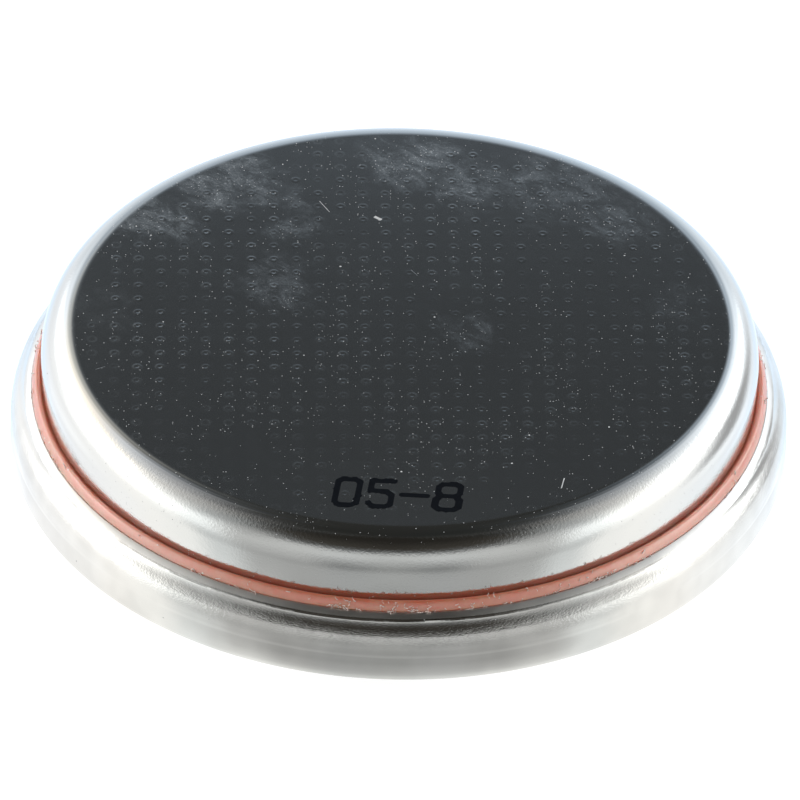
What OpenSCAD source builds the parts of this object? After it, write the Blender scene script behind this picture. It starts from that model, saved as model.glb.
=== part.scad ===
// Lithium coin cell, size 2450, lying with its negative cap up.
// A crimped steel can, a moulded gasket and a stepped steel cap seal in the cathode
// pellet with its ring, the separator and the lithium disc.
// Origin: middle of the can's underside. Every piece is turned about Z.

/* [Cell] */
// Outer diameter of the can
cell_d = 24.5; // [24.2:0.1:26]
// Height from the can's underside to the face of the cap
cell_h = 4.6; // [4.4:0.05:5.4]

/* [Positive can] */
// Thickness of the can's steel
can_t = 0.25; // [0.2:0.01:0.3]
// Outer radius of the can's bottom corner
can_corner_r = 0.35; // [0.32:0.01:0.6]
// Height at which the straight wall turns in to the crimp
crimp_z = 1.14; // [1.05:0.01:1.3]
// Outer radius of the crimp
crimp_r = 1.2; // [1.1:0.01:1.3]
// Angle that the crimp turns through
crimp_angle = 50; // [46:1:54]
// Straight length of the lip after the crimp
lip_len = 0.35; // [0.3:0.01:0.4]

/* [Gasket] */
// Thickness of the pressed gasket between can and cap
gasket_t = 0.35; // [0.3:0.01:0.4]
// Thickness of the gasket's floor under the cap's skirt
gasket_floor_t = 0.3; // [0.2:0.01:0.4]
// Thickness of the gasket's inner fence
fence_t = 0.25; // [0.15:0.01:0.4]
// Height of the gasket's inner fence above its floor
fence_h = 0.6; // [0.3:0.05:0.8]
// Radius of the bead that the crimp squeezes out round the cap
bead_r = 0.22; // [0.2:0.01:0.24]

/* [Negative cap] */
// Thickness of the cap's steel
cap_t = 0.25; // [0.2:0.01:0.3]
// Gap between the can's lip and the cap's wall, which the bead closes
mouth_gap = 0.35; // [0.32:0.01:0.37]
// Outer radius of the rolled edge round the cap's face
cap_edge_r = 0.92; // [0.6:0.01:1.1]
// Radius of the hollow where the cap's wall steps out to its skirt
step_r = 0.25; // [0.2:0.01:0.3]

/* [Filling] */
// Thickness of the lithium disc
lithium_t = 0.95; // [0.6:0.05:1.2]
// Room round the lithium disc inside the flat of the cap
lithium_gap = 0.28; // [0.1:0.01:0.6]
// Thickness of the separator
separator_t = 0.3; // [0.1:0.05:0.4]
// Room round the separator inside the cap's wall
separator_gap = 0.25; // [0.1:0.05:0.8]
// Thickness of the cathode ring's steel
ring_t = 0.2; // [0.15:0.01:0.3]
// Height of the cathode ring's wall
ring_h = 1.2; // [0.6:0.1:2]
// Width of the cathode ring's foot under the pellet
ring_foot = 0.8; // [0.5:0.1:1.5]
// Room between the cathode ring and the gasket's fence
ring_gap = 1.15; // [0.5:0.05:2]

/* [Hidden] */
$fn = 144;
// Angle by which bends run into what follows them, so that a section is one piece
lap = 0.05;

// The can: its radii and the middle of its crimp.
can_r = cell_d / 2;
can_bore_r = can_r - can_t;
crimp_x = can_r - crimp_r;
bore_crimp_r = crimp_r - can_t;
lip_r = crimp_x + crimp_r * cos(crimp_angle) - lip_len * sin(crimp_angle);

// The cap: its wall, and the shoulder that lies under the crimp with the gasket between.
cap_r = lip_r - mouth_gap;
flat_r = cap_r - cap_edge_r;
edge_z = cell_h - cap_edge_r;
skirt_r = can_bore_r - gasket_t;
skirt_z = can_t + gasket_floor_t;
shoulder_r = bore_crimp_r - gasket_t;
step_x = cap_r + step_r;
step_rise = sqrt(pow(shoulder_r + step_r, 2) - pow(step_x - crimp_x, 2));
step_z = crimp_z + step_rise;
step_angle = atan2(step_rise, step_x - crimp_x);

// The filling, stacked from the can's floor to the underside of the cap.
fence_r = skirt_r - cap_t - fence_t;
ring_r = fence_r - ring_gap;
pellet_r = ring_r - ring_t;
cap_under_z = cell_h - cap_t;
lithium_z = cap_under_z - lithium_t;
separator_z = lithium_z - separator_t;
lithium_r = flat_r - lithium_gap;
separator_r = cap_r - cap_t - separator_gap;

// Point at distance r from the origin, at angle a.
function polar(r, a) = [r * cos(a), r * sin(a)];

// Part of a disc about the origin, from angle a0 to angle a1 and at most a half turn.
module sector(r, a0, a1) {
    reach = 2 * r;
    intersection() {
        circle(r);
        polygon([
            [0, 0], polar(reach, a0), polar(reach, a0 + (a1 - a0) / 3),
            polar(reach, a1 - (a1 - a0) / 3), polar(reach, a1)
        ]);
    }
}

// Bend of a sheet: the part of a ring between two radii and two angles.
module bend(r, t, a0, a1) {
    difference() {
        sector(r, a0, a1);
        circle(r - t);
    }
}

// Places a section in the frame of the crimp's lip, at the end of the bend:
// x runs out through the sheet from the middle of the crimp, y runs along the lip.
module at_lip() {
    translate([crimp_x, crimp_z]) rotate(crimp_angle) children();
}

module can_section() {
    // floor and bottom corner
    square([can_r - can_corner_r, can_t]);
    translate([can_r - can_corner_r, can_corner_r]) bend(can_corner_r, can_t, -90, 0);
    // wall
    translate([can_bore_r, can_corner_r]) square([can_t, crimp_z - can_corner_r]);
    // crimp and lip
    translate([crimp_x, crimp_z]) bend(crimp_r, can_t, 0, crimp_angle + lap);
    at_lip() translate([bore_crimp_r, 0]) square([can_t, lip_len]);
}

module cap_section() {
    // face and rolled edge
    translate([0, cap_under_z]) square([flat_r, cap_t]);
    translate([flat_r, edge_z]) bend(cap_edge_r, cap_t, 0, 90);
    // wall
    translate([cap_r - cap_t, step_z]) square([cap_t, edge_z - step_z]);
    // hollow step, shoulder and skirt
    translate([step_x, step_z]) bend(step_r + cap_t, cap_t, 180, 180 + step_angle);
    translate([crimp_x, crimp_z]) bend(shoulder_r, cap_t, 0, step_angle + lap);
    translate([skirt_r - cap_t, skirt_z]) square([cap_t, crimp_z - skirt_z]);
}

module gasket_section() {
    corner_bore_r = can_corner_r - can_t;
    half_t = cap_t / 2;
    step_mid = [step_x, step_z];
    crimp_mid = [crimp_x, crimp_z];
    // floor under the skirt, with its corner in the can's corner
    translate([fence_r, can_t])
        square([can_r - can_corner_r - fence_r, gasket_floor_t]);
    translate([can_r - can_corner_r, can_corner_r]) sector(corner_bore_r, -90, 0);
    translate([skirt_r - cap_t, can_corner_r])
        square([gasket_t + cap_t, skirt_z - can_corner_r]);
    // fence inside the skirt
    translate([fence_r, can_t]) square([fence_t, gasket_floor_t + fence_h]);
    // wall and bend outside the skirt
    translate([skirt_r, can_corner_r]) square([gasket_t, crimp_z - can_corner_r]);
    translate([crimp_x, crimp_z]) bend(bore_crimp_r, gasket_t, 0, crimp_angle + lap);
    // what the lip squeezes against the cap, and the bead above it
    difference() {
        union() {
            polygon([
                crimp_mid + polar(shoulder_r - half_t, crimp_angle),
                crimp_mid + polar(bore_crimp_r, crimp_angle),
                crimp_mid + polar(bore_crimp_r, crimp_angle) + polar(lip_len, crimp_angle + 90),
                crimp_mid + polar(crimp_r, crimp_angle) + polar(lip_len, crimp_angle + 90),
                crimp_mid + polar(crimp_r, crimp_angle) + polar(lip_len + bead_r, crimp_angle + 90),
                [cap_r - half_t, crimp_z + (lip_len + bead_r) * cos(crimp_angle)
                    + crimp_r * sin(crimp_angle)],
                [cap_r - half_t, step_z],
                step_mid + polar(step_r + half_t, 180 + step_angle / 2),
                step_mid + polar(step_r + half_t, 180 + step_angle)
            ]);
            at_lip() translate([crimp_r, lip_len + bead_r]) circle(bead_r);
        }
        cap_section();
    }
}

module positive_can() {
    color("silver") rotate_extrude() can_section();
}

module sealing_gasket() {
    color("salmon") rotate_extrude() gasket_section();
}

module negative_cap() {
    color("lightsteelblue") rotate_extrude() cap_section();
}

// Pressed disc with a rebate round its underside for the foot of the cathode ring.
module cathode_pellet() {
    color("dimgray") translate([0, 0, can_t]) difference() {
        cylinder(r = pellet_r, h = separator_z - can_t);
        translate([0, 0, -ring_t]) difference() {
            cylinder(r = pellet_r + ring_t, h = 2 * ring_t);
            translate([0, 0, -ring_t]) cylinder(r = ring_r - ring_foot, h = 4 * ring_t);
        }
    }
}

// L-shaped ring that holds the pellet and joins it to the can's floor.
module cathode_ring() {
    color("gainsboro") translate([0, 0, can_t]) difference() {
        cylinder(r = ring_r, h = ring_h);
        translate([0, 0, ring_t]) cylinder(r = pellet_r, h = ring_h);
        translate([0, 0, -ring_t]) cylinder(r = ring_r - ring_foot, h = 3 * ring_t);
    }
}

module separator() {
    color("ivory") translate([0, 0, separator_z]) cylinder(r = separator_r, h = separator_t);
}

module lithium_disc() {
    color("lightgray") translate([0, 0, lithium_z]) cylinder(r = lithium_r, h = lithium_t);
}

positive_can();
sealing_gasket();
negative_cap();
cathode_pellet();
cathode_ring();
separator();
lithium_disc();
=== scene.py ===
import math
import random

import bmesh
import bpy
from mathutils import Matrix, Vector, noise


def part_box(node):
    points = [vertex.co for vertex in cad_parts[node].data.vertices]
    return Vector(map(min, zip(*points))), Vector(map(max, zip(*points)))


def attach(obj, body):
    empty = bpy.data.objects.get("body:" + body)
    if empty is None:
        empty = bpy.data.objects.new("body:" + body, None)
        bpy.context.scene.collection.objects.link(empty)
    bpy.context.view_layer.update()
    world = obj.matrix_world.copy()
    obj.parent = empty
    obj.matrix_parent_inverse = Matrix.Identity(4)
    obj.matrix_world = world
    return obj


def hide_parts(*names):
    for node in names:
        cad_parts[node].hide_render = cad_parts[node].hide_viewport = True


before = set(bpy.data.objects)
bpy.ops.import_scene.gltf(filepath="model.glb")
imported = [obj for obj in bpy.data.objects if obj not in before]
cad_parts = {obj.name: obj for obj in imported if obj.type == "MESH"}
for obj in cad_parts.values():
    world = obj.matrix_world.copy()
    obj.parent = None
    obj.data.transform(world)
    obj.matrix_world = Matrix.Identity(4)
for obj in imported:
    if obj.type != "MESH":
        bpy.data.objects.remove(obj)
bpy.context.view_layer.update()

# ---------------------------------------------------------------- camera
# A long lens held a third of a metre off, looking down on the front of the cell.
# Lengths in this script are millimetres, and MM turns them into metres.
MM = 0.001
top_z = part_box("negative_cap")[1].z / MM

camera_height_angle = 37.17
camera_roll = 1.157
camera_distance = 296.6
camera_aim = (0.018, 2.372)      # how far the cap's middle lies right of and above the view's middle

camera_data = bpy.data.cameras.new("camera")
camera_data.sensor_width = 36
camera_data.lens = 426.3
camera = bpy.data.objects.new("camera", camera_data)
bpy.context.scene.collection.objects.link(camera)
camera_turn = (Matrix.Rotation(math.radians(90 - camera_height_angle), 4, "X")
               @ Matrix.Rotation(math.radians(camera_roll), 4, "Z"))
camera_place = camera_turn @ Vector((-camera_aim[0], -camera_aim[1], camera_distance))
camera_place += Vector((0, 0, top_z))
camera.matrix_world = Matrix.Translation(camera_place * MM) @ camera_turn
bpy.context.scene.camera = camera

# ---------------------------------------------------------------- positive can
# A cup drawn from nickel-plated stainless sheet. Its edge is crimped in over the gasket
# by a die, which leaves a flat, a ragged burr under it, and stretch marks on the bend.
sheet_t = 0.25
turn_steps = 480                 # steps of a full turn round the cell's axis
arc_step = 6                     # degrees of a bend to each step of its section

can_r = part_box("positive_can")[1].x / MM
can_corner_r = 0.35
can_wall_lean = 0.02             # the wall is this much narrower where the crimp begins
crimp_z = 1.14
crimp_r = 1.2
crimp_angle = 50
bend_steps = (25, 11, 14)        # degrees of the bend: easy, then a tight shoulder, then easy again
lower_r = 1.1
shoulder_r = 0.35
lip_len = 0.35
die_flat = 0.24                  # width of the flat that the die leaves along the lip
burr_height = 0.014
draw_line = 0.012                # depth of the line that the drawing die leaves in the wall
crimp_x = can_r - crimp_r


def run_to(bm, tip, x, z):
    """Draws a section on from its last point, straight to x, z. Returns the new last point."""
    made = bmesh.ops.extrude_vert_indiv(bm, verts=[tip])
    made["verts"][0].co = (x, 0, z)
    return made["verts"][0]


def bend_by(bm, tip, centre_x, centre_z, degrees):
    """Draws a section on from its last point, round a centre. Plus turns from +Z towards +X."""
    made = bmesh.ops.spin(
        bm, geom=[tip], cent=(centre_x, 0, centre_z), axis=(0, 1, 0),
        angle=math.radians(degrees), steps=max(2, round(abs(degrees) / arc_step)),
        use_merge=False, use_duplicate=False)
    return [part for part in made["geom_last"] if isinstance(part, bmesh.types.BMVert)][0]


def turn_section(bm):
    """Turns the drawn section once round the cell's axis and closes the seam and the poles."""
    bmesh.ops.spin(
        bm, geom=bm.verts[:] + bm.edges[:], cent=(0, 0, 0), axis=(0, 0, 1),
        angle=math.tau, steps=turn_steps, use_merge=True, use_duplicate=False)
    bmesh.ops.remove_doubles(bm, verts=bm.verts[:], dist=0.0005)


def as_piece(bm, name, material, smooth=True):
    """Turns millimetres into metres, points the faces out and makes the piece's object."""
    bmesh.ops.recalc_face_normals(bm, faces=bm.faces[:])
    bmesh.ops.scale(bm, vec=(MM, MM, MM), verts=bm.verts[:])
    mesh = bpy.data.meshes.new(name)
    bm.to_mesh(mesh)
    bm.free()
    for face in mesh.polygons:
        face.use_smooth = smooth
    mesh.materials.append(material)
    piece = bpy.data.objects.new(name, mesh)
    bpy.context.scene.collection.objects.link(piece)
    return piece


def ripple(place, size, seed):
    """Smooth noise from -1 to 1 at a place on a piece, for a wave of about that size."""
    return noise.noise(Vector(place) / size + Vector((seed, seed * 1.7, -seed)))


def node(tree, kind, inputs=None, **settings):
    """Adds a shader node. An input given as a socket is linked, and any other is set."""
    made = tree.nodes.new(kind)
    for name, value in settings.items():
        setattr(made, name, value)
    for name, value in (inputs or {}).items():
        if isinstance(value, bpy.types.NodeSocket):
            tree.links.new(value, made.inputs[name])
        else:
            made.inputs[name].default_value = value
    return made


def sums(tree, operation, *terms):
    """A Math node on two or three terms, each a socket or a number. Returns its output."""
    return node(tree, "ShaderNodeMath", dict(enumerate(terms)), operation=operation).outputs[0]


def ramp(tree, value, start, end, low=0.0, high=1.0):
    """A smooth step from low to high as value goes from start to end."""
    made = node(tree, "ShaderNodeMapRange", {
        "Value": value, "From Min": start, "From Max": end, "To Min": low, "To Max": high,
    }, interpolation_type="SMOOTHSTEP")
    return made.outputs["Result"]


def blend(tree, share, a, b):
    """Colour a blended into colour b. Each may be a socket or three numbers."""
    colours = [c if isinstance(c, bpy.types.NodeSocket) else (*c, 1) for c in (a, b)]
    made = node(tree, "ShaderNodeMix", {0: share, 6: colours[0], 7: colours[1]},
                data_type="RGBA")
    return made.outputs[2]


def group(name, takes, gives):
    """An empty node group with float inputs, a vector input called Place, and float outputs."""
    tree = bpy.data.node_groups.new(name, "ShaderNodeTree")
    tree.interface.new_socket("Place", in_out="INPUT", socket_type="NodeSocketVector")
    for label in takes:
        tree.interface.new_socket(label, in_out="INPUT", socket_type="NodeSocketFloat")
    for label in gives:
        tree.interface.new_socket(label, in_out="OUTPUT", socket_type="NodeSocketFloat")
    return tree, tree.nodes.new("NodeGroupInput").outputs, tree.nodes.new("NodeGroupOutput").inputs


def use(tree, what, inputs):
    """Places a node group in a material. Returns its outputs."""
    made = node(tree, "ShaderNodeGroup", node_tree=what)
    for name, value in inputs.items():
        if isinstance(value, bpy.types.NodeSocket):
            tree.links.new(value, made.inputs[name])
        else:
            made.inputs[name].default_value = value
    return made.outputs


# Grain of drawn sheet: fine hills, longer one way, that break up a reflection's edge.
# Round is their size round the cell's axis and Along their size over the section.
grain_group, takes, gives = group("sheet_grain", ["Round", "Along"], ["Height"])
split = node(grain_group, "ShaderNodeSeparateXYZ", {"Vector": takes["Place"]})
back = sums(grain_group, "MULTIPLY", split.outputs["Y"], -1.0)
turn = sums(grain_group, "ARCTAN2", split.outputs["X"], back)
girth = sums(grain_group, "DIVIDE", sums(grain_group, "MULTIPLY", turn, 11.5 * MM),
             takes["Round"])
flat_place = node(grain_group, "ShaderNodeVectorMath", {0: takes["Place"], 1: (1, 1, 0)},
                  operation="MULTIPLY").outputs[0]
reach = node(grain_group, "ShaderNodeVectorMath", {0: flat_place},
             operation="LENGTH").outputs["Value"]
unrolled = node(grain_group, "ShaderNodeCombineXYZ", {
    "X": girth, "Y": sums(grain_group, "DIVIDE", reach, takes["Along"]),
    "Z": sums(grain_group, "DIVIDE", split.outputs["Z"], takes["Along"])})
fine = node(grain_group, "ShaderNodeTexNoise", {
    "Vector": unrolled.outputs[0], "Scale": 1.0, "Detail": 2.0, "Roughness": 0.6})
grain_group.links.new(fine.outputs["Fac"], gives["Height"])

# Dust: pale specks of many sizes, lying where chance put them.
dust_group, takes, gives = group("dust", ["Spacing", "Size", "Share"], ["Mask"])
cells = node(dust_group, "ShaderNodeTexVoronoi", {
    "Vector": takes["Place"], "Scale": sums(dust_group, "DIVIDE", 1.0, takes["Spacing"]),
    "Randomness": 1.0})
chance = node(dust_group, "ShaderNodeSeparateColor", {"Color": cells.outputs["Color"]})
reach = sums(dust_group, "DIVIDE", takes["Size"], takes["Spacing"])
reach = sums(dust_group, "MULTIPLY", reach, chance.outputs["Green"])
speck = sums(dust_group, "LESS_THAN", cells.outputs["Distance"], reach)
kept = sums(dust_group, "LESS_THAN", chance.outputs["Red"], takes["Share"])
dust_group.links.new(sums(dust_group, "MULTIPLY", speck, kept), gives["Mask"])

dust_colour = (0.63, 0.65, 0.67)
can_colour = (0.63, 0.63, 0.62)

can_steel = bpy.data.materials.new("can_steel")
can_steel.use_nodes = True
tree = can_steel.node_tree
skin = tree.nodes["Principled BSDF"]
place = node(tree, "ShaderNodeTexCoord").outputs["Object"]
height_in_can = node(tree, "ShaderNodeSeparateXYZ", {"Vector": place}).outputs["Z"]
on_bend = sums(tree, "MULTIPLY", ramp(tree, height_in_can, 1.1 * MM, 1.5 * MM, 0.1, 1.0),
               ramp(tree, height_in_can, 2.05 * MM, 1.78 * MM, 0.25, 1.0))
on_bend = sums(tree, "MULTIPLY", on_bend, ramp(tree, height_in_can, 0.0, 0.1 * MM))
flakes = use(tree, grain_group, {"Place": place, "Round": 0.075 * MM, "Along": 0.035 * MM})
dents = node(tree, "ShaderNodeTexNoise", {
    "Vector": place, "Scale": 1 / (0.35 * MM), "Detail": 2.0})
relief = sums(tree, "MULTIPLY_ADD", dents.outputs["Fac"], 0.8, flakes["Height"])
can_bump = node(tree, "ShaderNodeBump", {
    "Strength": 1.0, "Distance": 0.01 * MM,
    "Height": sums(tree, "MULTIPLY", relief, on_bend)})
on_flat = ramp(tree, height_in_can, 2.125 * MM, 2.145 * MM)
torn = node(tree, "ShaderNodeTexNoise", {"Vector": place, "Scale": 1 / (0.09 * MM)})
dust = use(tree, dust_group, {"Place": place, "Spacing": 0.3 * MM, "Size": 0.03 * MM,
                              "Share": 0.3})
cloud = node(tree, "ShaderNodeTexNoise", {"Vector": place, "Scale": 1 / (1.6 * MM)})
bright = ramp(tree, cloud.outputs["Fac"], 0.3, 0.7, 0.92, 1.05)
shade = node(tree, "ShaderNodeCombineColor", {
    "Red": sums(tree, "MULTIPLY", bright, can_colour[0]),
    "Green": sums(tree, "MULTIPLY", bright, can_colour[1]),
    "Blue": sums(tree, "MULTIPLY", bright, can_colour[2])}).outputs[0]
tree.links.new(blend(tree, dust["Mask"], shade, dust_colour), skin.inputs["Base Color"])
tree.links.new(sums(tree, "SUBTRACT", 1.0, dust["Mask"]), skin.inputs["Metallic"])
worn = sums(tree, "MULTIPLY_ADD", on_flat, ramp(tree, torn.outputs["Fac"], 0.35, 0.7, 0.2, 0.24),
            ramp(tree, cloud.outputs["Fac"], 0.3, 0.7, 0.1, 0.15))
tree.links.new(sums(tree, "MAXIMUM", worn, dust["Mask"]), skin.inputs["Roughness"])
tree.links.new(can_bump.outputs["Normal"], skin.inputs["Normal"])

bm = bmesh.new()
tip = bm.verts.new((0, 0, 0))
tip = run_to(bm, tip, can_r - can_corner_r, 0)
tip = bend_by(bm, tip, can_r - can_corner_r, can_corner_r, -90)
# a draw line runs round the wall just under the crimp
tip = run_to(bm, tip, can_r - 0.6 * can_wall_lean, crimp_z - 0.3)
tip = run_to(bm, tip, can_r - 0.8 * can_wall_lean - draw_line, crimp_z - 0.2)
tip = run_to(bm, tip, can_r - 0.8 * can_wall_lean - draw_line, crimp_z - 0.12)
tip = run_to(bm, tip, can_r - 0.8 * can_wall_lean, crimp_z - 0.05)
tip = run_to(bm, tip, can_r - can_wall_lean, crimp_z)
# the bend in three arcs that end where one plain arc would
leans = [math.radians(sum(bend_steps[:number])) for number in range(4)]
fall = [math.cos(lean) - math.cos(next_lean) for lean, next_lean in zip(leans, leans[1:])]
rise = [math.sin(next_lean) - math.sin(lean) for lean, next_lean in zip(leans, leans[1:])]
bend_r = crimp_r - can_wall_lean
upper_r = (bend_r * sum(fall) - lower_r * fall[0] - shoulder_r * fall[1]) / fall[2]
arcs = (lower_r, shoulder_r, upper_r)
tip = run_to(bm, tip, can_r - can_wall_lean, crimp_z + bend_r * sum(rise) - sum(
    radius * part for radius, part in zip(arcs, rise)))
for lean, radius, degrees in zip(leans, arcs, bend_steps):
    tip = bend_by(bm, tip, tip.co.x - radius * math.cos(lean),
                  tip.co.z - radius * math.sin(lean), -degrees)
# the lip, with the die's flat standing a burr's height under the bend
along = Vector((-math.sin(math.radians(crimp_angle)), 0, math.cos(math.radians(crimp_angle))))
outward = Vector((along.z, 0, -along.x))
lip_foot = Vector((crimp_x, 0, crimp_z)) + outward * crimp_r


def at_lip(distance, depth):
    """x and z of a point that far up the lip and that far under its outer face."""
    point = lip_foot + along * distance - outward * depth
    return point.x, point.z


tip = run_to(bm, tip, *at_lip(0.2 * (lip_len - die_flat), 0.005))
burr_foot = tip.co.x
tip = run_to(bm, tip, *at_lip(0.5 * (lip_len - die_flat), 0.005 - burr_height))
burr_ring = tip.co.x
tip = run_to(bm, tip, *at_lip(lip_len - die_flat, -0.004))
tip = run_to(bm, tip, *at_lip(lip_len - 0.04, -0.007))
tip = run_to(bm, tip, *at_lip(lip_len, 0.02))
tip = run_to(bm, tip, *at_lip(lip_len, sheet_t))
tip = run_to(bm, tip, *at_lip(0, sheet_t))
tip = bend_by(bm, tip, crimp_x, crimp_z, crimp_angle)
tip = run_to(bm, tip, can_r - sheet_t, can_corner_r)
tip = bend_by(bm, tip, can_r - can_corner_r, can_corner_r, 90)
run_to(bm, tip, 0, sheet_t)
turn_section(bm)
for vert in bm.verts:            # the burr comes and goes round the lip
    reach = math.hypot(vert.co.x, vert.co.y)
    if vert.co.z > crimp_z and abs(reach - burr_ring) < 0.003:
        stands = 0.52 + 0.9 * ripple(vert.co, 1.7, 1) + 0.9 * ripple(vert.co, 0.14, 2)
        out = Vector((vert.co.x / reach * outward.x, vert.co.y / reach * outward.x, outward.z))
        vert.co -= out * burr_height * (1 - min(1.3, max(0.1, stands)))
for edge in bm.edges:            # the burr's outer side stays a crisp facet that catches light
    reach = [math.hypot(vert.co.x, vert.co.y) for vert in edge.verts]
    if min(vert.co.z for vert in edge.verts) > 1.9 and (
            all(abs(r - burr_foot) < 0.002 for r in reach)
            or all(abs(r - burr_ring) < 0.02 for r in reach)):
        edge.smooth = False
positive_can = as_piece(bm, "can_shell", can_steel)
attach(positive_can, "root")
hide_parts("positive_can")

# ---------------------------------------------------------------- cathode ring and pellet
# Sealed inside: black manganese dioxide powder pressed into a disc, and the thin steel ring
# with an L section that is pressed round it. Their CAD shapes are kept and only finished.
pellet_colour = (0.035, 0.033, 0.032)

cathode_mix = bpy.data.materials.new("cathode_mix")
cathode_mix.use_nodes = True
tree = cathode_mix.node_tree
skin = tree.nodes["Principled BSDF"]
place = node(tree, "ShaderNodeTexCoord").outputs["Object"]
powder = node(tree, "ShaderNodeTexNoise", {
    "Vector": place, "Scale": 1 / (0.08 * MM), "Detail": 5.0, "Roughness": 0.75})
tree.links.new(blend(tree, ramp(tree, powder.outputs["Fac"], 0.35, 0.7), pellet_colour,
                     (0.085, 0.08, 0.078)), skin.inputs["Base Color"])
skin.inputs["Roughness"].default_value = 0.85
powder_bump = node(tree, "ShaderNodeBump", {
    "Strength": 0.8, "Distance": 0.02 * MM, "Height": powder.outputs["Fac"]})
tree.links.new(powder_bump.outputs["Normal"], skin.inputs["Normal"])

ring_steel = bpy.data.materials.new("ring_steel")
ring_steel.use_nodes = True
tree = ring_steel.node_tree
skin = tree.nodes["Principled BSDF"]
skin.inputs["Base Color"].default_value = (0.58, 0.58, 0.57, 1)
skin.inputs["Metallic"].default_value = 1.0
place = node(tree, "ShaderNodeTexCoord").outputs["Object"]
grain = use(tree, grain_group, {"Place": place, "Round": 0.04 * MM, "Along": 0.04 * MM})
tree.links.new(ramp(tree, grain["Height"], 0.3, 0.7, 0.25, 0.4), skin.inputs["Roughness"])
ring_bump = node(tree, "ShaderNodeBump", {
    "Strength": 1.0, "Distance": 0.001 * MM, "Height": grain["Height"]})
tree.links.new(ring_bump.outputs["Normal"], skin.inputs["Normal"])


def finish_node(name, material):
    """Gives a CAD solid that is kept as it is its finish."""
    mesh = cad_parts[name].data
    mesh.materials.clear()
    mesh.materials.append(material)


finish_node("cathode_pellet", cathode_mix)
finish_node("cathode_ring", ring_steel)

# ---------------------------------------------------------------- sealing gasket
# Moulded polypropylene, salmon orange. The crimp presses its upstanding wall against the
# cap, and what it squeezes out stands round the cap's foot as a soft, glossy bead.
gasket_t = 0.35
gasket_floor_t = 0.3
fence_t = 0.25
fence_h = 0.6
bead_r = 0.2                     # how far the bead stands from the lip's end to its middle
bead_bends = ((110, 78, 0.1), (78, 54, 0.54), (54, -35, 0.09))   # tilts and radius of each bend
contact_z = 2.485
cap_r = 11.203
foot_r = 11.233                  # the cap's wall where the bead leans on it
step_r = 0.25
skirt_r = can_r - sheet_t - gasket_t
skirt_z = sheet_t + gasket_floor_t
step_rise = math.sqrt((crimp_r - sheet_t - gasket_t + step_r) ** 2
                      - (cap_r + step_r - crimp_x) ** 2)
step_z = crimp_z + step_rise
step_angle = math.degrees(math.atan2(step_rise, cap_r + step_r - crimp_x))

gasket_colour = (0.86, 0.205, 0.105)
gasket_plastic = bpy.data.materials.new("gasket_plastic")
gasket_plastic.use_nodes = True
tree = gasket_plastic.node_tree
skin = tree.nodes["Principled BSDF"]
skin.inputs["Subsurface Weight"].default_value = 0.9
skin.inputs["Subsurface Radius"].default_value = (1.6, 0.35, 0.2)
skin.inputs["Subsurface Scale"].default_value = 0.35 * MM
skin.inputs["IOR"].default_value = 1.8
skin.inputs["Specular IOR Level"].default_value = 1.0
skin.inputs["Coat Weight"].default_value = 1.0
skin.inputs["Coat Roughness"].default_value = 0.4
place = node(tree, "ShaderNodeTexCoord").outputs["Object"]
mottle = node(tree, "ShaderNodeTexNoise", {
    "Vector": place, "Scale": 1 / (0.45 * MM), "Detail": 4.0, "Roughness": 0.65})
dust = use(tree, dust_group, {"Place": place, "Spacing": 0.16 * MM, "Size": 0.035 * MM,
                              "Share": 0.16})
body_colour_and_glow = blend(tree, ramp(tree, mottle.outputs["Fac"], 0.35, 0.7), gasket_colour,
                    (0.88, 0.3, 0.18))
# painted glow: the cleft beside the cap is painted a deeper, brighter orange, which stands in for light
# that soaks through the plastic into the shade there
split = node(tree, "ShaderNodeVectorMath", {0: place, 1: (1, 1, 0)}, operation="MULTIPLY")
reach = node(tree, "ShaderNodeVectorMath", {0: split.outputs[0]}, operation="LENGTH")
cleft_glow_share = ramp(tree, reach.outputs["Value"], 11.45 * MM, 11.38 * MM)
body_colour_and_glow = blend(tree, cleft_glow_share, body_colour_and_glow, (0.97, 0.22, 0.08))
tree.links.new(blend(tree, dust["Mask"], body_colour_and_glow, (0.9, 0.66, 0.58)),
               skin.inputs["Base Color"])
tree.links.new(ramp(tree, mottle.outputs["Fac"], 0.3, 0.7, 0.3, 0.48),
               skin.inputs["Roughness"])
gasket_bump = node(tree, "ShaderNodeBump", {
    "Strength": 0.6, "Distance": 0.01 * MM, "Height": mottle.outputs["Fac"]})
tree.links.new(gasket_bump.outputs["Normal"], skin.inputs["Normal"])

bm = bmesh.new()
fence_r = skirt_r - sheet_t - fence_t
bead_x, bead_z = at_lip(lip_len + bead_r, 0)
first = bm.verts.new((fence_r, 0, sheet_t))
tip = run_to(bm, first, can_r - can_corner_r, sheet_t)
tip = bend_by(bm, tip, can_r - can_corner_r, can_corner_r, -90)
tip = run_to(bm, tip, can_r - sheet_t, crimp_z)
tip = bend_by(bm, tip, crimp_x, crimp_z, -crimp_angle)
tip = run_to(bm, tip, *at_lip(lip_len, sheet_t))
tip = run_to(bm, tip, *at_lip(lip_len, 0))
bead_arcs = []
for start, end, radius in bead_bends:
    centre = tip.co - radius * Vector((math.sin(math.radians(start)), 0,
                                       math.cos(math.radians(start))))
    tip = bend_by(bm, tip, centre.x, centre.z, end - start)
    bead_arcs.append((centre, radius, end))
tip = run_to(bm, tip, foot_r, contact_z)
tip = run_to(bm, tip, cap_r, step_z)
tip = bend_by(bm, tip, cap_r + step_r, step_z, -step_angle)
tip = bend_by(bm, tip, crimp_x, crimp_z, step_angle)
tip = run_to(bm, tip, skirt_r, skirt_z)
tip = run_to(bm, tip, skirt_r - sheet_t, skirt_z)
tip = run_to(bm, tip, skirt_r - sheet_t, skirt_z + fence_h)
tip = run_to(bm, tip, fence_r, skirt_z + fence_h)
tip = run_to(bm, tip, fence_r, sheet_t)
turn_section(bm)
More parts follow.
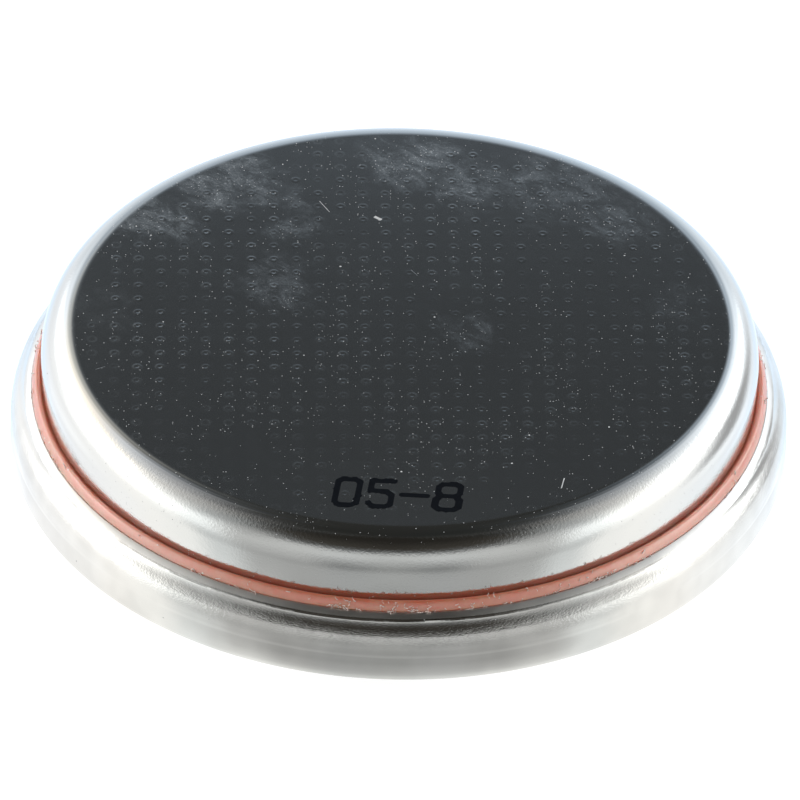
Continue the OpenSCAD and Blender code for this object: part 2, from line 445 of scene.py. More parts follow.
for vert in bm.verts:
    reach = math.hypot(vert.co.x, vert.co.y)
    if vert.co.z > bead_z - 0.1 and reach > foot_r + 0.02:
        swell = 0.012 * ripple(vert.co, 1.6, 5) + 0.007 * ripple(vert.co, 0.3, 6)
        vert.co.z += swell
        vert.co.x *= 1 + swell / reach
        vert.co.y *= 1 + swell / reach
gasket = as_piece(bm, "gasket_ring", gasket_plastic)
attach(gasket, "root")
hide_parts("sealing_gasket")

# ---------------------------------------------------------------- gasket flash
# The crimp tears the gasket's outer corner into short curled shreds, paler than the rest,
# which stand in clumps along the lip.
shred_count = 170
shred_r = 0.019
shred_seed = random.Random(11)

torn_plastic = bpy.data.materials.new("torn_plastic")
torn_plastic.use_nodes = True
tree = torn_plastic.node_tree
skin = tree.nodes["Principled BSDF"]
skin.inputs["Base Color"].default_value = (1.0, 0.86, 0.8, 1)
skin.inputs["Roughness"].default_value = 0.4
skin.inputs["Coat Weight"].default_value = 1.0

bm = bmesh.new()
clumps = [shred_seed.uniform(-105, 105) for clump in range(22)]
clumps += [-31, -25, -20, -8, -7, -3, -2, 3, 4, 12, 24, 33]
for shred in range(shred_count):
    turn = math.radians(shred_seed.choice(clumps) + shred_seed.gauss(0, 2.2))
    out = Vector((math.sin(turn), -math.cos(turn), 0))
    round_way = Vector((math.cos(turn), math.sin(turn), 0))
    tilt = shred_seed.choice((106, 103, 100, 95, 88, 80, 66, 55))
    centre, radius, end = next(arc for arc in bead_arcs if arc[2] <= tilt)
    lean = out * math.sin(math.radians(tilt)) + Vector((0, 0, math.cos(math.radians(tilt))))
    spot = out * centre.x + Vector((0, 0, centre.z)) + lean * (radius + 0.5 * shred_r)
    heading = (round_way * shred_seed.choice((-1, 1)) + lean.cross(round_way)
               * shred_seed.uniform(-0.8, 0.8) + lean * shred_seed.uniform(0.0, 0.35))
    curl = shred_seed.uniform(-0.9, 0.9)
    step = shred_seed.uniform(0.015, 0.06)
    loop = bmesh.ops.create_circle(
        bm, cap_ends=True, segments=3, radius=shred_r,
        matrix=Matrix.Translation(spot) @ heading.to_track_quat("Z", "X").to_matrix().to_4x4())
    rim = list({e for v in loop["verts"] for e in v.link_edges})
    for part in range(4):
        heading = Matrix.Rotation(curl, 3, lean) @ heading
        made = bmesh.ops.extrude_edge_only(bm, edges=rim)["geom"]
        rim = [e for e in made if isinstance(e, bmesh.types.BMEdge) and e.is_boundary]
        tips = [v for v in made if isinstance(v, bmesh.types.BMVert)]
        bmesh.ops.translate(bm, verts=tips, vec=heading.normalized() * step)
    bmesh.ops.edgeloop_fill(bm, edges=rim)
flash = as_piece(bm, "gasket_flash", torn_plastic)
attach(flash, "root")

# ---------------------------------------------------------------- separator and lithium
# Sealed inside: a disc of white non-woven felt on the pellet, and a disc of soft lithium
# metal that is pressed to the underside of the cap. Their CAD shapes are kept.
separator_felt = bpy.data.materials.new("separator_felt")
separator_felt.use_nodes = True
tree = separator_felt.node_tree
skin = tree.nodes["Principled BSDF"]
skin.inputs["Roughness"].default_value = 0.9
place = node(tree, "ShaderNodeTexCoord").outputs["Object"]
drawn_out = node(tree, "ShaderNodeMapping", {
    "Vector": place, "Rotation": (0, 0, 0.6), "Scale": (1.0, 6.0, 1.0)})
fibres = node(tree, "ShaderNodeTexNoise", {
    "Vector": drawn_out.outputs[0], "Scale": 1 / (0.3 * MM), "Detail": 6.0, "Roughness": 0.7,
    "Distortion": 1.5})
tree.links.new(blend(tree, fibres.outputs["Fac"], (0.74, 0.73, 0.68), (0.92, 0.91, 0.87)),
               skin.inputs["Base Color"])
felt_bump = node(tree, "ShaderNodeBump", {
    "Strength": 0.7, "Distance": 0.02 * MM, "Height": fibres.outputs["Fac"]})
tree.links.new(felt_bump.outputs["Normal"], skin.inputs["Normal"])
finish_node("separator", separator_felt)

lithium_metal = bpy.data.materials.new("lithium_metal")
lithium_metal.use_nodes = True
tree = lithium_metal.node_tree
skin = tree.nodes["Principled BSDF"]
skin.inputs["Metallic"].default_value = 1.0
place = node(tree, "ShaderNodeTexCoord").outputs["Object"]
tarnish = node(tree, "ShaderNodeTexNoise", {
    "Vector": place, "Scale": 1 / (1.8 * MM), "Detail": 5.0, "Roughness": 0.6})
tree.links.new(blend(tree, tarnish.outputs["Fac"], (0.70, 0.70, 0.71), (0.50, 0.50, 0.53)),
               skin.inputs["Base Color"])
tree.links.new(ramp(tree, tarnish.outputs["Fac"], 0.3, 0.7, 0.35, 0.6),
               skin.inputs["Roughness"])
finish_node("lithium_disc", lithium_metal)

# ---------------------------------------------------------------- negative cap
# A stepped cap drawn from thin stainless sheet. A tool presses a square grid of shallow
# pits into its face, and its foot steps out to the skirt that the gasket holds.
cap_top = top_z - 0.006          # the steel lies one ink film under the top of the cell
flat_r = 10.29
edge_r = 0.92                    # radius of the rolled edge where it leaves the flat
girth_r = 1.33                   # and where it runs down into the wall
girth_from = 60                  # degrees of the bend at which the one gives way to the other
soft_r = 3.5                     # the face's own edge falls off softly before the roll
soft_angle = 2

pit_pitch = 0.7113
grid_turn = 1.478                # degrees between the grid of pits and the X axis
grid_offset = (0.313, -0.119)
pit_field_r = 9.65
pit_r = 0.105
pit_rim = 0.0026
pit_depth = 0.0012

cap_colour = (0.61, 0.62, 0.62)

# A straight stroke about the place's origin: Length and Width are half of its own.
stroke_group, takes, gives = group("stroke", ["Angle", "Length", "Width"], ["Mask"])
turned = node(stroke_group, "ShaderNodeVectorRotate", {
    "Vector": takes["Place"], "Angle": takes["Angle"]}, rotation_type="Z_AXIS")
line = node(stroke_group, "ShaderNodeSeparateXYZ", {"Vector": turned.outputs[0]})
in_length = sums(stroke_group, "LESS_THAN", sums(
    stroke_group, "ABSOLUTE", line.outputs["X"]), takes["Length"])
in_width = sums(stroke_group, "LESS_THAN", sums(
    stroke_group, "ABSOLUTE", line.outputs["Y"]), takes["Width"])
stroke_group.links.new(sums(stroke_group, "MULTIPLY", in_length, in_width), gives["Mask"])

# Hair scratches: a stroke at any angle in some of the cells of a pattern.
scratch_group, takes, gives = group("scratches", ["Spacing", "Length", "Width", "Share"],
                                    ["Mask"])
cells = node(scratch_group, "ShaderNodeTexVoronoi", {
    "Vector": takes["Place"], "Scale": sums(scratch_group, "DIVIDE", 1.0, takes["Spacing"])})
from_middle = node(scratch_group, "ShaderNodeVectorMath", {
    0: takes["Place"], 1: cells.outputs["Position"]}, operation="SUBTRACT").outputs[0]
chance = node(scratch_group, "ShaderNodeSeparateColor", {"Color": cells.outputs["Color"]})
drawn = use(scratch_group, stroke_group, {
    "Place": from_middle,
    "Angle": sums(scratch_group, "MULTIPLY", chance.outputs["Red"], math.tau),
    "Length": sums(scratch_group, "MULTIPLY", takes["Length"], chance.outputs["Blue"]),
    "Width": takes["Width"]})
kept = sums(scratch_group, "LESS_THAN", chance.outputs["Green"], takes["Share"])
scratch_group.links.new(sums(scratch_group, "MULTIPLY", drawn["Mask"], kept), gives["Mask"])

cap_steel = bpy.data.materials.new("cap_steel")
cap_steel.use_nodes = True
tree = cap_steel.node_tree
skin = tree.nodes["Principled BSDF"]
place = node(tree, "ShaderNodeTexCoord").outputs["Object"]
height_in_cap = node(tree, "ShaderNodeSeparateXYZ", {"Vector": place}).outputs["Z"]
on_edge = ramp(tree, height_in_cap, (cap_top - 0.02) * MM, (cap_top - 0.12) * MM)
brushed = use(tree, grain_group, {"Place": place, "Round": 0.09 * MM, "Along": 0.07 * MM})
speckle = node(tree, "ShaderNodeTexNoise", {"Vector": place, "Scale": 1 / (0.05 * MM),
                                            "Detail": 2.0})
relief = sums(tree, "MULTIPLY_ADD", sums(tree, "MULTIPLY", brushed["Height"], on_edge), 4.5,
              sums(tree, "MULTIPLY", speckle.outputs["Fac"], 0.1))
cap_bump = node(tree, "ShaderNodeBump", {
    "Strength": 1.0, "Distance": 0.001 * MM, "Height": relief})

# grime: smudges from handling, each with its middle, its size and how strong it is, and
# a grainy ring round every pit
smudges = (((-5.8, 7.6), 2.6, 0.9), ((-7.6, 5.4), 2.0, 0.8), ((0.2, 8.6), 2.2, 0.9),
           ((2.2, 7.6), 2.0, 0.85), ((5.0, 7.6), 2.6, 0.6), ((-4.0, 2.2), 1.7, 0.65),
           ((1.9, -0.3), 1.0, 0.5), ((7.0, 6.2), 2.0, 0.55), ((-3.4, 5.2), 1.1, 0.6),
           ((-9.2, 0.5), 1.6, 0.2), ((8.8, 1.5), 1.5, 0.2))
film = 0.05
wander = node(tree, "ShaderNodeTexNoise", {"Vector": place, "Scale": 1 / (1.5 * MM),
                                           "Detail": 4.0, "Roughness": 0.65})
wander = sums(tree, "MULTIPLY_ADD", wander.outputs["Fac"], 4 * MM, -2 * MM)
for middle, size, strength in smudges:
    away = node(tree, "ShaderNodeVectorMath", {
        0: place, 1: (middle[0] * MM, middle[1] * MM, cap_top * MM)}, operation="DISTANCE")
    away = sums(tree, "ADD", away.outputs["Value"], wander)
    film = sums(tree, "MAXIMUM", film, ramp(
        tree, away, size * MM, 0.3 * size * MM, 0.0, strength))
wiped = node(tree, "ShaderNodeMapping", {
    "Vector": place, "Rotation": (0, 0, math.radians(-40)), "Scale": (1.8, 1.0, 1.0)},
    vector_type="TEXTURE")
smear = node(tree, "ShaderNodeTexNoise", {
    "Vector": wiped.outputs[0], "Scale": 1 / (0.8 * MM), "Detail": 9.0, "Roughness": 0.8,
    "Distortion": 0.8})
film = sums(tree, "MULTIPLY", film, ramp(tree, smear.outputs["Fac"], 0.4, 0.66, 0.12, 1.0))
on_grid = node(tree, "ShaderNodeMapping", {
    "Vector": place, "Location": (grid_offset[0] * MM, grid_offset[1] * MM, 0),
    "Rotation": (0, 0, math.radians(grid_turn)), "Scale": (pit_pitch * MM,) * 3},
    vector_type="TEXTURE").outputs[0]
on_grid = node(tree, "ShaderNodeVectorMath", {0: on_grid, 1: (1, 1, 0)}, operation="MULTIPLY")
from_pit = node(tree, "ShaderNodeVectorMath", {
    0: on_grid.outputs[0], 1: (0.5, 0.5, 0.5), 2: (-0.5, -0.5, -0.5)}, operation="WRAP")
from_pit = node(tree, "ShaderNodeVectorMath", {0: from_pit.outputs[0]}, operation="LENGTH")
round_pit = sums(tree, "MULTIPLY", ramp(tree, from_pit.outputs["Value"], 0.1, 0.17),
                 ramp(tree, from_pit.outputs["Value"], 0.29, 0.21))
grit = node(tree, "ShaderNodeTexNoise", {"Vector": place, "Scale": 1 / (0.07 * MM),
                                         "Detail": 3.0, "Roughness": 0.7})
grit = ramp(tree, grit.outputs["Fac"], 0.45, 0.7)
crowd = node(tree, "ShaderNodeTexNoise", {"Vector": place, "Scale": 1 / (2.6 * MM),
                                          "Detail": 3.0})
crowd = ramp(tree, crowd.outputs["Fac"], 0.36, 0.64)
grime = sums(tree, "MULTIPLY", round_pit, ramp(tree, crowd, 0.0, 1.0, 0.04, 0.22))
grime = sums(tree, "MAXIMUM", grime, film)
grime = sums(tree, "MULTIPLY", grime, ramp(tree, grit, 0.0, 1.0, 0.5, 1.0))
share = sums(tree, "MULTIPLY_ADD", crowd, 0.33, 0.07)
share = sums(tree, "MULTIPLY_ADD", grime, 1.2, share)
dust_fine = use(tree, dust_group, {"Place": place, "Spacing": 0.085 * MM,
                                   "Size": 0.018 * MM, "Share": share})
dust_big = use(tree, dust_group, {"Place": place, "Spacing": 0.5 * MM,
                                  "Size": 0.036 * MM, "Share": 0.3})
dust_mask = sums(tree, "MAXIMUM", dust_fine["Mask"], dust_big["Mask"])
# a chip, a lint and a hair, each with its middle, half its length and width, and its angle
for middle, length, width, angle in (((-0.79, 5.62), 0.14, 0.055, 38),
                                     ((5.07, -7.97), 0.26, 0.016, -80),
                                     ((-2.5, 6.2), 0.33, 0.009, 60)):
    about = node(tree, "ShaderNodeVectorMath", {
        0: place, 1: (middle[0] * MM, middle[1] * MM, 0)}, operation="SUBTRACT").outputs[0]
    fallen = use(tree, stroke_group, {"Place": about, "Angle": math.radians(angle),
                                      "Length": length * MM, "Width": width * MM})
    dust_mask = sums(tree, "MAXIMUM", dust_mask, fallen["Mask"])
hairs = use(tree, scratch_group, {"Place": place, "Spacing": 2.6 * MM, "Length": 0.5 * MM,
                                  "Width": 0.007 * MM, "Share": 0.07})
tree.links.new(blend(tree, dust_mask, cap_colour, dust_colour), skin.inputs["Base Color"])
tree.links.new(sums(tree, "SUBTRACT", 1.0, dust_mask), skin.inputs["Metallic"])
rough = sums(tree, "MULTIPLY_ADD", grime, 0.26, 0.072)
rough = sums(tree, "MULTIPLY_ADD", hairs["Mask"], 0.2, rough)
tree.links.new(sums(tree, "MAXIMUM", rough, dust_mask), skin.inputs["Roughness"])
tree.links.new(cap_bump.outputs["Normal"], skin.inputs["Normal"])

bm = bmesh.new()
soft = math.radians(soft_angle)
edge_z = cap_top - soft_r * (1 - math.cos(soft)) - edge_r * math.cos(soft)
soft_from = flat_r - (soft_r - edge_r) * math.sin(soft)
tip = bm.verts.new((soft_from, 0, cap_top))
tip = bend_by(bm, tip, soft_from, cap_top - soft_r, soft_angle)
tip = bend_by(bm, tip, flat_r, edge_z, girth_from - soft_angle)
shift = (girth_r - edge_r) / edge_r
tip = bend_by(bm, tip, flat_r - shift * (tip.co.x - flat_r), edge_z - shift * (tip.co.z - edge_z),
              90 - girth_from)
tip = run_to(bm, tip, foot_r, contact_z)
tip = run_to(bm, tip, cap_r, step_z)
tip = bend_by(bm, tip, cap_r + step_r, step_z, -step_angle)
tip = bend_by(bm, tip, crimp_x, crimp_z, step_angle)
tip = run_to(bm, tip, skirt_r, skirt_z)
tip = run_to(bm, tip, skirt_r - sheet_t, skirt_z)
tip = run_to(bm, tip, skirt_r - sheet_t, crimp_z)
tip = bend_by(bm, tip, crimp_x, crimp_z, -step_angle)
tip = bend_by(bm, tip, cap_r + step_r, step_z, step_angle)
tip = run_to(bm, tip, flat_r + edge_r - sheet_t, edge_z)
tip = bend_by(bm, tip, flat_r, edge_z, -90)
run_to(bm, tip, 0, cap_top - sheet_t)
turn_section(bm)

# the face: a tile for every pit, with a low crater in its middle, rim and floor
rim_loop = [e for e in bm.edges if e.is_boundary]
tiles_across = 2 * int(pit_field_r / pit_pitch) + 3
on_face = (Matrix.Translation((*grid_offset, cap_top))
           @ Matrix.Rotation(math.radians(grid_turn), 4, "Z"))
sheet = bmesh.ops.create_grid(bm, x_segments=tiles_across, y_segments=tiles_across,
                              size=tiles_across * pit_pitch / 2, matrix=on_face)["verts"]
tiles = list({face for vert in sheet for face in vert.link_faces})
outside = [t for t in tiles if t.calc_center_median().xy.length > pit_field_r]
bmesh.ops.delete(bm, geom=outside, context="FACES")
tiles = [t for t in tiles if t.is_valid]
bmesh.ops.inset_individual(bm, faces=tiles, thickness=pit_pitch / 2 - 1.3 * pit_r)
bmesh.ops.subdivide_edges(bm, edges=list({e for t in tiles for e in t.edges}), cuts=2)
for tile in tiles:
    middle = tile.calc_center_median()
    for vert in tile.verts:
        arm = vert.co - middle
        way = math.atan2(arm.y, arm.x) - math.radians(grid_turn + 45)
        way = round(way / math.radians(30)) * math.radians(30) + math.radians(grid_turn + 45)
        vert.co = middle + 1.8 * pit_r * Vector((math.cos(way), math.sin(way), 0))
for inset, lift in ((0.5, 0.0), (0.4, pit_rim), (0.4, -pit_depth - pit_rim), (0.3, 0.0)):
    bmesh.ops.inset_individual(bm, faces=tiles, thickness=inset * pit_r, depth=lift)
pit_chance = random.Random(4)
pit_shapes = {}
for vert in bm.verts:
    lift = vert.co.z - cap_top
    if 0.0001 < abs(lift) <= pit_rim * 1.01 and vert.co.xy.length < pit_field_r + pit_pitch / 2:
        cell = (on_face.inverted() @ vert.co) / pit_pitch
        cell = (round(cell.x), round(cell.y), lift > 0)
        worn_in = 0.4 + 0.6 * ripple((*cell[:2], 0), 5, 7)
        shape = max(0.05, worn_in + pit_chance.uniform(-0.25, 0.25))
        vert.co.z = cap_top + lift * pit_shapes.setdefault(cell, shape)

# the flat between the outermost tiles and the rolled edge
outline = [e for e in set(bm.edges) - set(rim_loop) if e.is_boundary]
ring = bmesh.ops.extrude_edge_only(bm, edges=outline)["geom"]
ring = [e for e in ring if isinstance(e, bmesh.types.BMEdge) and e.is_boundary]
bmesh.ops.subdivide_edges(bm, edges=ring, cuts=4)
ring = [e for e in set(bm.edges) - set(rim_loop) if e.is_boundary]
for vert in {v for e in ring for v in e.verts}:
    vert.co.xy = vert.co.xy.normalized() * (soft_from - 0.035)
bmesh.ops.bridge_loops(bm, edges=rim_loop + ring)
negative_cap = as_piece(bm, "cap_shell", cap_steel)
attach(negative_cap, "root")
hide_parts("negative_cap")

# ---------------------------------------------------------------- ink mark
# Plain figures sprayed on the cap's face in black ink, dot by dot, so that every stroke has
# round ends and a wavy edge. The film stands one film's thickness off the steel.
mark_middle = (0.02, -8.70)
mark_turn = -3.0
mark_slant = 0.06
glyph_step = 1.03
half_stroke = 0.125
nought = ((-0.34, -0.5), (-0.34, 0.5), (-0.2, 0.64), (0.2, 0.64), (0.34, 0.5), (0.34, -0.5),
          (0.2, -0.64), (-0.2, -0.64), (-0.34, -0.5))
five = ((0.34, 0.64), (-0.34, 0.64), (-0.34, 0.12), (0.16, 0.12), (0.34, -0.06),
        (0.34, -0.5), (0.2, -0.64), (-0.2, -0.64), (-0.34, -0.48))
dash = ((-0.36, 0.0), (0.36, 0.0))
eight = ((-0.22, 0.05), (-0.34, 0.2), (-0.34, 0.5), (-0.2, 0.64), (0.2, 0.64), (0.34, 0.5),
         (0.34, 0.2), (0.22, 0.05), (-0.22, 0.05), (-0.36, -0.12), (-0.36, -0.5),
         (-0.2, -0.64), (0.2, -0.64), (0.36, -0.5), (0.36, -0.12), (0.22, 0.05))

ink = bpy.data.materials.new("ink")
ink.use_nodes = True
tree = ink.node_tree
skin = tree.nodes["Principled BSDF"]
skin.inputs["Roughness"].default_value = 0.85
skin.inputs["Specular IOR Level"].default_value = 0.05
place = node(tree, "ShaderNodeTexCoord").outputs["Object"]
drops = node(tree, "ShaderNodeTexNoise", {"Vector": place, "Scale": 1 / (0.12 * MM),
                                          "Detail": 3.0})
tree.links.new(blend(tree, drops.outputs["Fac"], (0.002, 0.003, 0.005), (0.006, 0.008, 0.012)),
               skin.inputs["Base Color"])
ink_bump = node(tree, "ShaderNodeBump", {
    "Strength": 0.5, "Distance": 0.004 * MM, "Height": drops.outputs["Fac"]})
tree.links.new(ink_bump.outputs["Normal"], skin.inputs["Normal"])

def from_stroke(spot, path):
    """How far a spot lies from a figure's line, which is given as a row of points."""
    gaps = []
    for a, b in zip(map(Vector, path), map(Vector, path[1:])):
        share = (spot - a).dot(b - a) / (b - a).length_squared
        gaps.append((a.lerp(b, min(1, max(0, share))) - spot).length)
    return min(gaps)


bm = bmesh.new()
for number, path in enumerate((nought, five, dash, eight)):
    sheet = bmesh.ops.create_grid(bm, x_segments=24, y_segments=37, size=0.5,
                                  matrix=Matrix.Diagonal((1.08, 1.66, 1, 1)))["verts"]
    dry = []
    for face in {face for vert in sheet for face in vert.link_faces}:
        spot = face.calc_center_median()
        wave = 0.022 * ripple(spot + Vector((3 * number, 0, 0)), 0.16, 8)
        if from_stroke(spot.to_2d(), path) > half_stroke + wave:
            dry.append(face)
    bmesh.ops.delete(bm, geom=dry, context="FACES")
    for vert in [v for v in sheet if v.is_valid]:
        vert.co.x += (number - 1.5) * glyph_step
corners = [v for v in bm.verts if len(v.link_faces) == 2 and len(v.link_edges) == 4]
bmesh.ops.delete(bm, geom=list({v.link_faces[0] for v in corners}), context="FACES")
for smoothing in range(3):
    bmesh.ops.smooth_vert(bm, verts=[v for v in bm.verts if v.is_boundary], factor=0.5,
                          use_axis_x=True, use_axis_y=True, use_axis_z=True)
for vert in bm.verts:
    vert.co.x += mark_slant * vert.co.y
film = bmesh.ops.extrude_face_region(bm, geom=bm.faces[:])
bmesh.ops.translate(bm, verts=[v for v in film["geom"] if isinstance(v, bmesh.types.BMVert)],
                    vec=(0, 0, top_z - cap_top))
bmesh.ops.transform(
    bm, verts=bm.verts[:],
    matrix=Matrix.Translation((*mark_middle, cap_top)) @ Matrix.Rotation(
        math.radians(mark_turn), 4, "Z"))
ink_mark = as_piece(bm, "ink_mark", ink, smooth=False)
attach(ink_mark, "root")

# ---------------------------------------------------------------- floor and light
# A white sheet between two big soft side lights, dark overhead as under the black cloth
# round a lens. The floor keeps a faint shadow of the cell.
# Each row: degrees round from behind the cell, colour, then height in degrees and brightness.
studio = (
    (3, (0.87, 1.0, 1.14), ((-70, 1.3), (-15, 1.2), (5, 1.0), (22, 0.76), (29, 0.6), (32.8, 0.42),
                            (35.2, 0.125), (36.0, 0.062), (37.0, 0.05), (38.6, 0.063),
                            (41, 0.036), (75, 0.03))),
    (10, (0.9, 1.0, 1.1), ((-70, 1.35), (-15, 1.3), (5, 1.05), (17, 0.85), (29, 0.58),
                           (36, 0.78), (41, 0.48), (44, 0.2), (47, 0.09), (52, 0.055), (62, 0.035),
                           (75, 0.03))),
    (20, (0.95, 1.0, 1.05), ((-70, 1.4), (-35, 1.35), (-8, 1.27), (17, 1.06), (24, 1.25),
                             (33, 1.55), (41, 1.2), (49, 0.42), (56, 0.085), (70, 0.03))),
    (30, (0.98, 1.0, 1.03), ((-70, 1.35), (-38, 1.3), (-24, 1.5), (0, 1.2), (13, 1.33),
                             (22, 2.2), (37, 2.0), (45, 1.3), (55, 0.48), (66, 0.06),
                             (76, 0.03))),
    (50, (1.0, 1.0, 1.0), ((-70, 1.4), (-40, 1.34), (-22, 1.55), (-6, 1.35), (10, 1.46),
                           (22, 3.0), (36, 2.6), (45, 1.45), (55, 0.73), (62, 0.4), (68, 0.1),
                           (76, 0.035))),
    (75, (1.01, 1.0, 0.98), ((-70, 1.4), (-5, 1.44), (8, 2.0), (20, 4.0), (36, 2.6), (45, 1.25),
                             (55, 0.7), (66, 0.25), (76, 0.04))),
    (90, (1.02, 1.0, 0.96), ((-70, 1.35), (-12, 1.48), (0, 1.8), (18, 3.6), (30, 2.0),
                             (38, 1.32), (46, 0.86), (57, 0.56), (68, 0.16), (76, 0.04))),
    (105, (1.01, 1.0, 0.96), ((-70, 1.35), (-22, 1.35), (-8, 1.6), (8, 2.4), (22, 1.6),
                              (33, 1.1), (41, 0.74), (50, 0.58), (60, 0.32), (70, 0.07))),
    (120, (0.98, 1.0, 0.98), ((-70, 1.2), (-24, 0.83), (-14, 0.98), (-4, 1.45), (8, 1.6),
                              (17, 1.2), (25, 0.84), (33, 0.6), (45, 0.45), (55, 0.26),
                              (63, 0.07), (72, 0.035))),
    (135, (1.0, 1.0, 0.97), ((-72, 1.2), (-60, 0.75), (-38, 0.6), (-26, 0.56), (-5, 0.7), (4, 0.77),
                             (15, 0.63), (30, 0.49), (38, 0.32), (46, 0.14), (55, 0.06),
                             (70, 0.03))),
    (150, (1.0, 1.0, 0.97), ((-72, 1.1), (-63, 0.65), (-54, 0.5), (-40, 0.57), (-27, 0.49), (-12, 0.63),
                             (5, 0.77), (16, 0.77), (22, 0.64), (28, 0.34), (34, 0.15),
                             (43, 0.06), (70, 0.025))),
    (165, (0.99, 1.0, 0.98), ((-72, 0.95), (-63, 0.6), (-54, 0.47), (-40, 0.57), (-20, 0.32), (-8, 0.48),
                              (2, 0.72), (10, 0.82), (18, 0.72), (24, 0.36), (30, 0.16),
                              (40, 0.06), (70, 0.025))),
    (180, (0.99, 1.0, 0.97), ((-72, 0.95), (-63, 0.6), (-53, 0.45), (-46, 0.48), (-38, 0.58),
                              (-19, 0.4), (-4, 0.59), (12, 0.77), (18, 0.68), (24, 0.4),
                              (31, 0.16), (40, 0.05), (70, 0.025))),
)
warm_black = (1.1, 1.0, 0.85)    # what is nearly black before the cell is a warm black
plain_black = (1.0, 1.0, 0.92)   # and behind and beside it a plain one,
cool_black = (0.93, 1.0, 1.05)   # which is cooler lower down, where the cap's face mirrors it


def studio_light(tree, turn, rise):
    """The studio's colour at a turn from behind the cell, plus to the right, and a rise."""
    either_side = sums(tree, "ABSOLUTE", sums(tree, "SUBTRACT", turn, 0.7))
    share = ramp(tree, rise, -90, 90)
    share.node.interpolation_type = "LINEAR"
    colour = last_turn = None
    for degrees, tint, heights in studio:
        band = node(tree, "ShaderNodeValToRGB", {"Fac": share})
        stops = band.color_ramp.elements
        for number, (height, level) in enumerate(heights):
            stop = stops.new((height + 90) / 180) if number > 1 else stops[number]
            stop.position = (height + 90) / 180
            hue = tint
            if level < 0.1 and degrees > 130:
                hue = warm_black
            elif level < 0.07:
                hue = plain_black if height > 39 else cool_black
            stop.color = (*(level * part for part in hue), 1)
        colour = band.outputs["Color"] if colour is None else blend(
            tree, ramp(tree, either_side, last_turn, degrees), colour, band.outputs["Color"])
        last_turn = degrees
    # behind the cell it is warmer on the left, high up, and cooler on the right
    warm = sums(tree, "MULTIPLY", ramp(tree, turn, -2.5, -7), ramp(tree, rise, 30, 38))
    warm = sums(tree, "MULTIPLY", warm, ramp(tree, rise, 50, 42))
    cool = ramp(tree, turn, 2.5, 7)
    for share, tint in ((warm, (1.12, 1.0, 0.85)), (cool, (0.97, 1.0, 1.02))):
        share = sums(tree, "MULTIPLY", share, ramp(tree, either_side, 100, 40))
        colour = node(tree, "ShaderNodeMix", {0: share, 6: colour, 7: (*tint, 1)},
                      data_type="RGBA", blend_type="MULTIPLY").outputs[2]
    # something grey stands low on the right, a little behind the cell
    grey = sums(tree, "MULTIPLY", ramp(tree, turn, 25, 52), ramp(tree, turn, 84, 62))
    grey = sums(tree, "MULTIPLY", grey, ramp(tree, rise, -24, -9))
    grey = sums(tree, "MULTIPLY", grey, ramp(tree, rise, 22, 3))
    return blend(tree, grey, colour, (0.55, 0.55, 0.55))


def degrees_of(tree, operation, *terms):
    """An inverse trigonometric function in degrees."""
    return sums(tree, "DEGREES", sums(tree, operation, *terms))


world = bpy.data.worlds.new("studio")
bpy.context.scene.world = world
world.use_nodes = True
tree = world.node_tree
tree.nodes.clear()
toward = node(tree, "ShaderNodeTexCoord").outputs["Generated"]
split = node(tree, "ShaderNodeSeparateXYZ", {"Vector": toward})
level = studio_light(
    tree, degrees_of(tree, "ARCTAN2", split.outputs["X"], split.outputs["Y"]),
    degrees_of(tree, "ARCSINE", split.outputs["Z"]))
light_path = node(tree, "ShaderNodeLightPath")
seen = sums(tree, "MAXIMUM", light_path.outputs["Is Camera Ray"],
            light_path.outputs["Is Transmission Ray"])
sky = node(tree, "ShaderNodeBackground", {
    "Color": blend(tree, seen, level, (1, 1, 1)), "Strength": 1.0})
node(tree, "ShaderNodeOutputWorld", {"Surface": sky.outputs[0]})
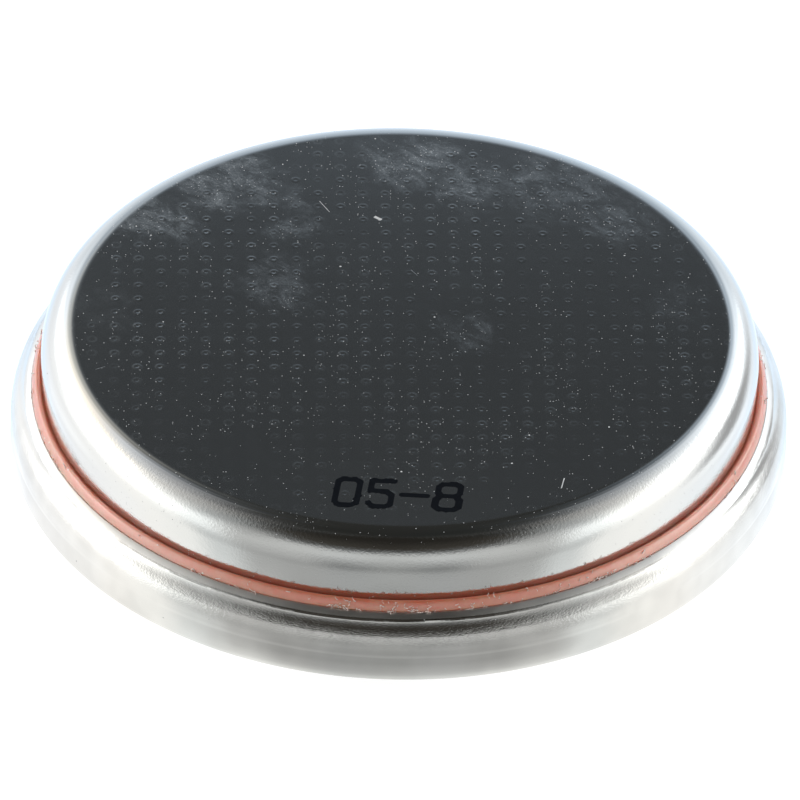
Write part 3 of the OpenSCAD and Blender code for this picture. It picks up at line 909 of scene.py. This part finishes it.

# The floor glows, though it is no lamp, with painted studio light where it shows in the metal: what is
# seen at a spot of it lies in the direction that light from there is thrown back by the cell's round
# side.
floor_r = 150
floor_z = -0.005                 # clear of the cell's base, so that the two don't coincide
floor_sheet = bpy.data.materials.new("floor_sheet")
floor_sheet.use_nodes = True
tree = floor_sheet.node_tree
tree.nodes.clear()
spot = node(tree, "ShaderNodeTexCoord").outputs["Object"]
split = node(tree, "ShaderNodeSeparateXYZ", {"Vector": spot})
reach = node(tree, "ShaderNodeVectorMath", {0: spot}, operation="LENGTH").outputs["Value"]
reach = sums(tree, "DIVIDE", reach, MM)
under_cell = ramp(tree, reach, can_r - 0.3, can_r - 0.5)
reach = sums(tree, "MAXIMUM", reach, can_r)
from_front = degrees_of(tree, "ARCTAN2", split.outputs["X"],
                        sums(tree, "MULTIPLY", split.outputs["Y"], -1.0))
widen = sums(tree, "DIVIDE", sums(tree, "MULTIPLY", reach, 2.0),
             sums(tree, "MULTIPLY_ADD", reach, 2.0, -can_r))
side = sums(tree, "SIGN", from_front)
thrown = sums(tree, "MINIMUM", sums(
    tree, "MULTIPLY", sums(tree, "ABSOLUTE", from_front), widen), 180)
turn = sums(tree, "MULTIPLY", sums(tree, "SUBTRACT", 180.0, thrown), side)
fall = degrees_of(tree, "ARCTAN2", -3.3, sums(tree, "SUBTRACT", reach, 11.2))
lit = blend(tree, under_cell, studio_light(tree, turn, fall), (0.8, 0.8, 0.8))
light_path = node(tree, "ShaderNodeLightPath")
in_metal = light_path.outputs["Is Glossy Ray"]
paper = node(tree, "ShaderNodeBsdfDiffuse", {
    "Color": blend(tree, in_metal, (0.5, 0.5, 0.5), (0, 0, 0))})
straight = sums(tree, "MAXIMUM", light_path.outputs["Is Camera Ray"],
                light_path.outputs["Is Transmission Ray"])
glow = blend(tree, in_metal, (0.8, 0.8, 0.8), lit)
shine = node(tree, "ShaderNodeEmission", {
    "Color": glow, "Strength": sums(tree, "MAXIMUM", straight, in_metal)})
both = node(tree, "ShaderNodeAddShader", {0: paper.outputs[0], 1: shine.outputs[0]})
# from below the floor is clear
clear = node(tree, "ShaderNodeBsdfTransparent")
from_below = node(tree, "ShaderNodeNewGeometry").outputs["Backfacing"]
both = node(tree, "ShaderNodeMixShader", {0: from_below, 1: both.outputs[0],
                                          2: clear.outputs[0]})
node(tree, "ShaderNodeOutputMaterial", {"Surface": both.outputs[0]})

bm = bmesh.new()
bmesh.ops.create_circle(bm, cap_ends=True, segments=96, radius=floor_r,
                        matrix=Matrix.Translation((0, 0, floor_z)))
floor = as_piece(bm, "floor", floor_sheet, smooth=False)
floor.data.flip_normals()        # its one face looks up

bpy.context.scene.view_settings.view_transform = "Standard"
